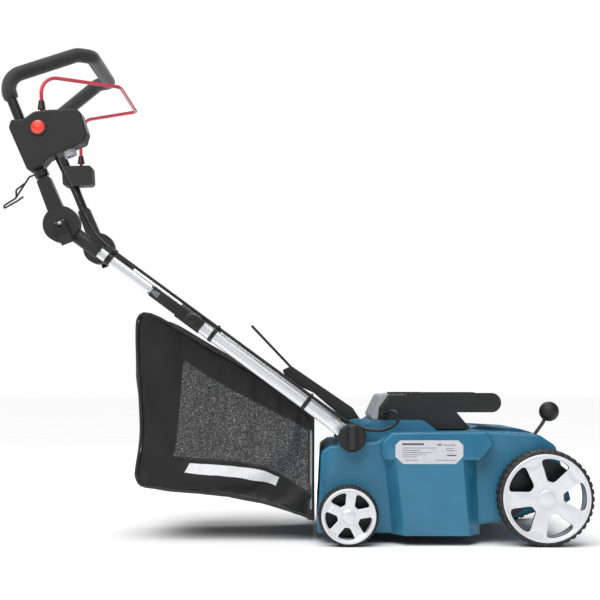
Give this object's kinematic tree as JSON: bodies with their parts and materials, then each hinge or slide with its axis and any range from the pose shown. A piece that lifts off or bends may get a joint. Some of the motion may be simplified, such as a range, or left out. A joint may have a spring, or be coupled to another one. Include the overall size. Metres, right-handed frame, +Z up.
{
  "type": "lawn dethatcher",
  "caption": "Electric lawn dethatcher with a belt-driven blade reel, four wheels, a depth lever, a folding telescopic handle with bail switch, and a rear collecting bag.",
  "frame": {"origin": "on the ground, under the middle of the machine's box", "axes": "+X forward, +Z up, -Y the machine's right side"},
  "size_m": [1.2517, 0.55, 1.0847],
  "materials": {
    "teal_plastic": "moulded, satin",
    "black_plastic": "moulded, fine texture",
    "grey_plastic": "moulded, satin",
    "silver_plastic": "painted rim",
    "tyre_rubber": "moulded tread",
    "tube_aluminium": "drawn, satin",
    "galvanised_steel": "galvanised",
    "blade_steel": "sprung steel",
    "shaft_steel": "turned",
    "motor_iron": "lacquered laminations",
    "black_enamel": "powder coat",
    "red_enamel": "powder coat",
    "red_button": "glossy",
    "dark_foam": "closed-cell foam",
    "cable_rubber": "smooth jacket",
    "belt_rubber": "ribbed belt",
    "bag_fabric": "woven polyester with a mesh window",
    "plate_film": "printed film"
  },
  "bodies": {
    "frame": {"chassis_frame": "galvanised_steel", "deck_housing": "teal_plastic", "belt_cover": "teal_plastic", "centre_hood": "teal_plastic", "rating_plate": "plate_film", "motor_cover": "black_plastic", "cover_rear_panel": "grey_plastic", "carry_handle": "black_plastic", "cord_gland": "black_plastic", "motor_body": "motor_iron", "reel_bearings": "shaft_steel", "drive_belt": "belt_rubber", "rear_axle": "shaft_steel", "deck_fasteners": "shaft_steel", "flap_pin": "shaft_steel", "cable_deck": "cable_rubber"},
    "reel": {"reel_shaft": "shaft_steel", "reel_blades": "blade_steel", "reel_spacers": "black_plastic", "reel_pulley": "shaft_steel"},
    "rotor": {"motor_shaft": "shaft_steel", "motor_pulley": "shaft_steel"},
    "front_crank": {"front_axle": "shaft_steel", "depth_lever": "black_enamel", "depth_knob": "black_plastic"},
    "front_wheel_left": {"front_tyre_left": "tyre_rubber", "front_rim_left": "silver_plastic"},
    "front_wheel_right": {"front_tyre_right": "tyre_rubber", "front_rim_right": "silver_plastic"},
    "rear_wheel_left": {"rear_tyre_left": "tyre_rubber", "rear_rim_left": "silver_plastic"},
    "rear_wheel_right": {"rear_tyre_right": "tyre_rubber", "rear_rim_right": "silver_plastic"},
    "knob_left": {"deck_knob_left": "black_plastic"},
    "knob_right": {"deck_knob_right": "black_plastic"},
    "lower_handle": {"lower_tubes": "tube_aluminium", "tube_clamps": "black_plastic", "cable_lower": "cable_rubber"},
    "clamp_left": {"clamp_lever_left": "black_plastic"},
    "clamp_right": {"clamp_lever_right": "black_plastic"},
    "sliding_handle": {"upper_tubes": "tube_aluminium", "pivot_sockets": "black_plastic", "pivot_bolts": "shaft_steel"},
    "pivot_catch_left": {"pivot_lever_left": "black_plastic"},
    "pivot_catch_right": {"pivot_lever_right": "black_plastic"},
    "upper_handle": {"pivot_arms": "black_plastic", "handlebar": "black_enamel", "foam_grip": "dark_foam", "switch_box": "black_plastic", "bail_bracket": "black_plastic", "power_inlet": "grey_plastic", "cable_top": "cable_rubber"},
    "bail_bar": {"bail": "red_enamel", "bail_boots": "cable_rubber"},
    "button": {"start_button": "red_button"},
    "hook": {"cord_hook": "black_enamel"},
    "collector": {"bag": "bag_fabric", "bag_frame": "shaft_steel"},
    "flap": {"rear_flap": "black_plastic", "flap_rod": "black_enamel"}
  },
  "joints": [
    {"name": "reel_spin", "type": "hinge", "parent": "frame", "child": "reel", "pos_m": [0.30086, 0, 0.08], "axis": [0, 1, 0], "continuous": true},
    {"name": "rotor_spin", "type": "hinge", "parent": "frame", "child": "rotor", "pos_m": [0.29086, 0, 0.212], "axis": [0, 1, 0], "continuous": true},
    {"name": "depth_set", "type": "hinge", "parent": "frame", "child": "front_crank", "pos_m": [0.50086, 0, 0.1], "axis": [0, 1, 0], "range_deg": [-36, 0]},
    {"name": "front_left_roll", "type": "hinge", "parent": "front_crank", "child": "front_wheel_left", "pos_m": [0.52586, 0.25, 0.1], "axis": [0, 1, 0], "continuous": true},
    {"name": "front_right_roll", "type": "hinge", "parent": "front_crank", "child": "front_wheel_right", "pos_m": [0.52586, -0.25, 0.1], "axis": [0, 1, 0], "continuous": true},
    {"name": "rear_left_roll", "type": "hinge", "parent": "frame", "child": "rear_wheel_left", "pos_m": [0.11786, 0.25, 0.063], "axis": [0, 1, 0], "continuous": true},
    {"name": "rear_right_roll", "type": "hinge", "parent": "frame", "child": "rear_wheel_right", "pos_m": [0.11786, -0.25, 0.063], "axis": [0, 1, 0], "continuous": true},
    {"name": "knob_left_turn", "type": "hinge", "parent": "frame", "child": "knob_left", "pos_m": [0.12626, 0.245, 0.2226], "axis": [0, 1, 0], "continuous": true},
    {"name": "knob_right_turn", "type": "hinge", "parent": "frame", "child": "knob_right", "pos_m": [0.12626, -0.245, 0.2226], "axis": [0, 1, 0], "continuous": true},
    {"name": "handle_fold", "type": "hinge", "parent": "frame", "child": "lower_handle", "pos_m": [0.12626, 0, 0.2226], "axis": [0, 1, 0], "range_deg": [0, 100], "deforming": ["cable_deck"]},
    {"name": "clamp_left_flip", "type": "hinge", "parent": "lower_handle", "child": "clamp_left", "pos_m": [-0.21186, 0.25, 0.47006], "axis": [-0.5906, 0, -0.807], "range_deg": [0, 90]},
    {"name": "clamp_right_flip", "type": "hinge", "parent": "lower_handle", "child": "clamp_right", "pos_m": [-0.21186, -0.25, 0.47006], "axis": [0.5906, 0, 0.807], "range_deg": [0, 90]},
    {"name": "handle_slide", "type": "slide", "parent": "lower_handle", "child": "sliding_handle", "axis": [0.807, 0, -0.5906], "range_m": [0, 0.08], "deforming": ["cable_lower"]},
    {"name": "pivot_left_flip", "type": "hinge", "parent": "sliding_handle", "child": "pivot_catch_left", "pos_m": [-0.49026, 0.253, 0.67382], "axis": [0.929, 0, 0.37], "range_deg": [0, 90]},
    {"name": "pivot_right_flip", "type": "hinge", "parent": "sliding_handle", "child": "pivot_catch_right", "pos_m": [-0.49026, -0.253, 0.67382], "axis": [-0.929, 0, -0.37], "range_deg": [0, 90]},
    {"name": "upper_fold", "type": "hinge", "parent": "sliding_handle", "child": "upper_handle", "pos_m": [-0.49026, 0, 0.67382], "axis": [0, 1, 0], "range_deg": [-15, 95], "deforming": ["cable_top"]},
    {"name": "bail_squeeze", "type": "hinge", "parent": "upper_handle", "child": "bail_bar", "pos_m": [-0.53715, 0, 0.87196], "axis": [0, -1, 0], "range_deg": [0, 20], "stiffness_Nm_per_rad": 2, "springref_deg": -20.05},
    {"name": "button_press", "type": "slide", "parent": "upper_handle", "child": "button", "axis": [0, 1, 0], "range_m": [0, 0.004], "stiffness_N_per_m": 500, "springref_m": -0.002},
    {"name": "hook_swing", "type": "hinge", "parent": "upper_handle", "child": "hook", "pos_m": [-0.53312, -0.228, 0.7773], "axis": [-0.3827, 0, 0.9239], "range_deg": [-50, 50]},
    {"name": "bag_pull_off", "type": "slide", "parent": "frame", "child": "collector", "axis": [-1, 0, 0], "range_m": [0, 0.08]},
    {"name": "flap_lift", "type": "hinge", "parent": "frame", "child": "flap", "pos_m": [0.13986, 0, 0.25], "axis": [0, 1, 0], "range_deg": [0, 30]}
  ],
  "couplings": [
    {"joint": "rotor_spin", "follows": "reel_spin", "ratio": 2}
  ]
}
